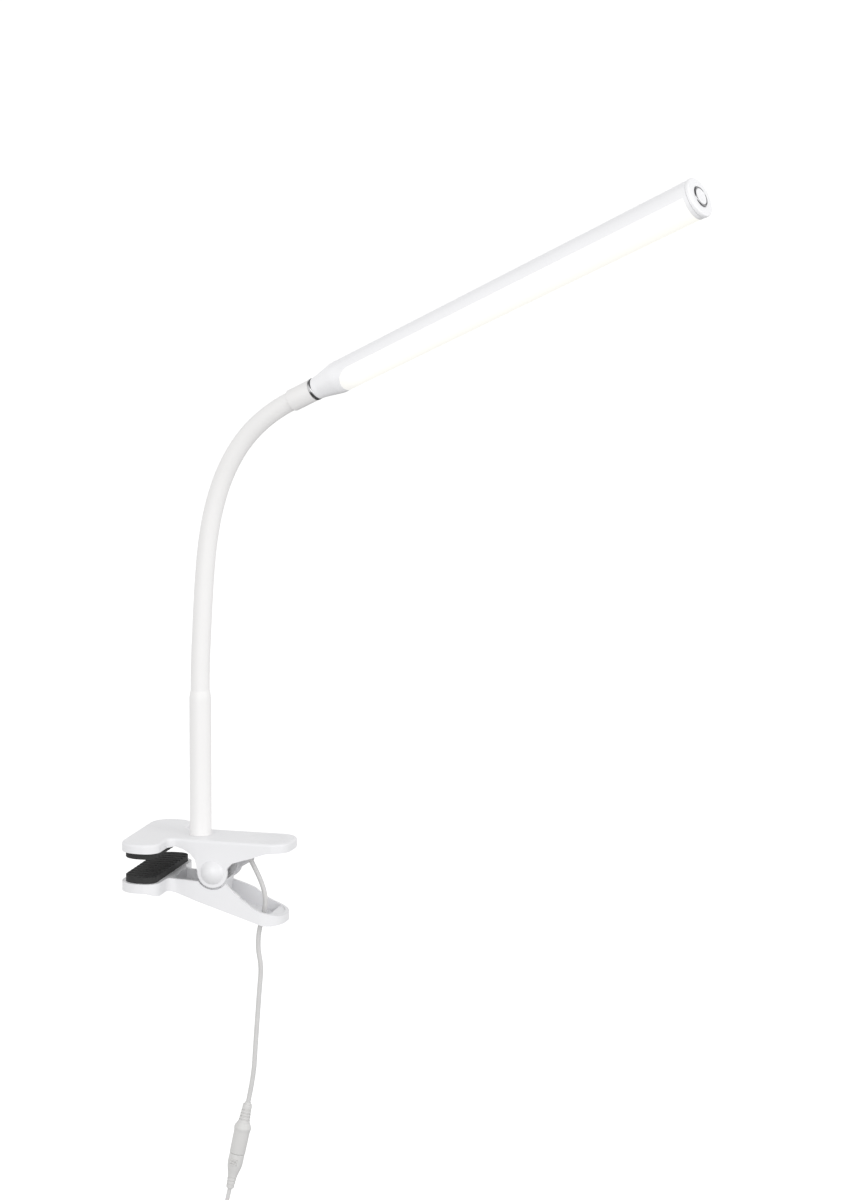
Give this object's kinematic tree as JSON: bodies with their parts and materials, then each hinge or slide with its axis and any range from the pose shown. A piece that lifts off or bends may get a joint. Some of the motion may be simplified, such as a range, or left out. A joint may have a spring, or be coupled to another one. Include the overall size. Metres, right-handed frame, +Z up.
{
  "type": "clip-on reading lamp",
  "caption": "Spring clip with wide jaw paddles, flexible neck and long tubular LED head with a push button at its end, on a lead with an in-line plug and mains adapter.",
  "frame": {"origin": "centre of the upper jaw pad's gripping face", "axes": "+X from the jaws to the handles, +Y across the clip along the hinge pin, +Z up from the board"},
  "size_m": [0.3607, 0.1281, 0.7471],
  "materials": {
    "clip_plastic": "satin white moulded plastic",
    "pad_rubber": "matt black",
    "steel": "zinc plated",
    "spring_steel": "bright drawn wire",
    "nylon": "natural nylon",
    "tube_paint": "satin warm white paint",
    "neck_silicone": "smooth matt white silicone",
    "cord_white": "white PVC",
    "plug_white": "moulded white PVC",
    "contact_metal": "nickel plated",
    "tie_white": "soft plastic",
    "circuit_board": "white solder mask",
    "chrome": "polished",
    "dark_chrome": "polished, dark",
    "head_white": "satin white",
    "diffuser": "frosted, translucent",
    "aluminium": "extruded",
    "led": "phosphor",
    "switch_black": "moulded"
  },
  "bodies": {
    "clip": {"upper_body": "clip_plastic", "upper_pad": "pad_rubber", "hinge_pin": "steel", "hinge_caps": "clip_plastic", "spring_bush": "nylon", "torsion_spring": "spring_steel", "lower_tube": "tube_paint", "tube_washer": "steel", "tube_nut": "steel", "neck_collar": "nylon", "neck_root_link": "steel", "neck_sleeve_1": "neck_silicone", "inner_lead": "cord_white", "lead_relief": "cord_white", "lamp_lead": "cord_white", "jack_boot": "plug_white", "jack_body": "plug_white", "jack_pin": "contact_metal", "plug_body": "plug_white", "plug_tip": "contact_metal", "adapter_lead_top": "cord_white", "lead_coil": "cord_white", "coil_tie": "tie_white", "adapter_lead_tail": "cord_white", "adapter_front": "plug_white", "adapter_back": "plug_white", "adapter_pins": "contact_metal", "adapter_board": "circuit_board", "adapter_relief": "cord_white"},
    "lower_clip": {"lower_body": "clip_plastic", "lower_pad": "pad_rubber"},
    "neck_1": {"neck_link_1": "steel", "neck_sleeve_2": "neck_silicone"},
    "neck_2": {"neck_link_2": "steel", "neck_sleeve_3": "neck_silicone"},
    "neck_3": {"neck_link_3": "steel", "neck_sleeve_4": "neck_silicone"},
    "neck_4": {"neck_link_4": "steel", "neck_sleeve_5": "neck_silicone"},
    "neck_5": {"neck_link_5": "steel", "neck_sleeve_6": "neck_silicone"},
    "neck_6": {"neck_link_6": "steel", "neck_sleeve_7": "neck_silicone"},
    "neck_7": {"neck_link_7": "steel", "neck_sleeve_8": "neck_silicone"},
    "head": {"neck_tip_link": "steel", "neck_ferrule": "tube_paint", "chrome_ring": "chrome", "head_cone": "head_white", "head_shell": "head_white", "diffuser": "diffuser", "led_carrier": "aluminium", "led_board": "circuit_board", "leds": "led", "head_wire": "cord_white", "end_cap": "head_white", "button_ring": "dark_chrome", "switch": "switch_black", "switch_board": "circuit_board"},
    "button": {"button": "head_white"}
  },
  "joints": [
    {"name": "clip_hinge", "type": "hinge", "parent": "clip", "child": "lower_clip", "pos_m": [0.04, 0, -0.01], "axis": [0, -1, 0], "range_deg": [-11, 28], "stiffness_Nm_per_rad": 1.6, "deforming": ["torsion_spring"]},
    {"name": "neck_bend_1", "type": "hinge", "parent": "clip", "child": "neck_1", "pos_m": [0.02796, -0.00004, 0.11053], "axis": [0.2419, 0.9703, 0], "range_deg": [-20, 14], "deforming": ["neck_sleeve_1"]},
    {"name": "neck_bend_2", "type": "hinge", "parent": "neck_1", "child": "neck_2", "pos_m": [0.02909, -0.00032, 0.13556], "axis": [0.2419, 0.9703, 0], "range_deg": [-20, 14], "deforming": ["neck_sleeve_2"]},
    {"name": "neck_bend_3", "type": "hinge", "parent": "neck_2", "child": "neck_3", "pos_m": [0.03061, -0.0007, 0.16057], "axis": [0.9676, -0.2412, -0.075], "range_deg": [-20, 20], "deforming": ["neck_sleeve_3"]},
    {"name": "neck_bend_4", "type": "hinge", "parent": "neck_3", "child": "neck_4", "pos_m": [0.03304, -0.0013, 0.1855], "axis": [0.2419, 0.9703, 0], "range_deg": [-20, 14], "deforming": ["neck_sleeve_4"]},
    {"name": "neck_bend_5", "type": "hinge", "parent": "neck_4", "child": "neck_5", "pos_m": [0.03794, -0.00253, 0.21002], "axis": [0.2419, 0.9703, 0], "range_deg": [-20, 14], "deforming": ["neck_sleeve_5"]},
    {"name": "neck_bend_6", "type": "hinge", "parent": "neck_5", "child": "neck_6", "pos_m": [0.04675, -0.00473, 0.23334], "axis": [0.8603, -0.2145, -0.4625], "range_deg": [-20, 20], "deforming": ["neck_sleeve_6"]},
    {"name": "neck_bend_7", "type": "hinge", "parent": "neck_6", "child": "neck_7", "pos_m": [0.06054, -0.00816, 0.2539], "axis": [0.2419, 0.9703, 0], "range_deg": [-20, 14], "deforming": ["neck_sleeve_7"]},
    {"name": "neck_bend_8", "type": "hinge", "parent": "neck_7", "child": "head", "pos_m": [0.07915, -0.0128, 0.26991], "axis": [0.2419, 0.9703, 0], "range_deg": [-20, 14], "deforming": ["neck_sleeve_8"]},
    {"name": "button_press", "type": "slide", "parent": "head", "child": "button", "axis": [-0.8721, 0.2174, -0.4384], "range_m": [0, 0.0008], "stiffness_N_per_m": 900}
  ]
}
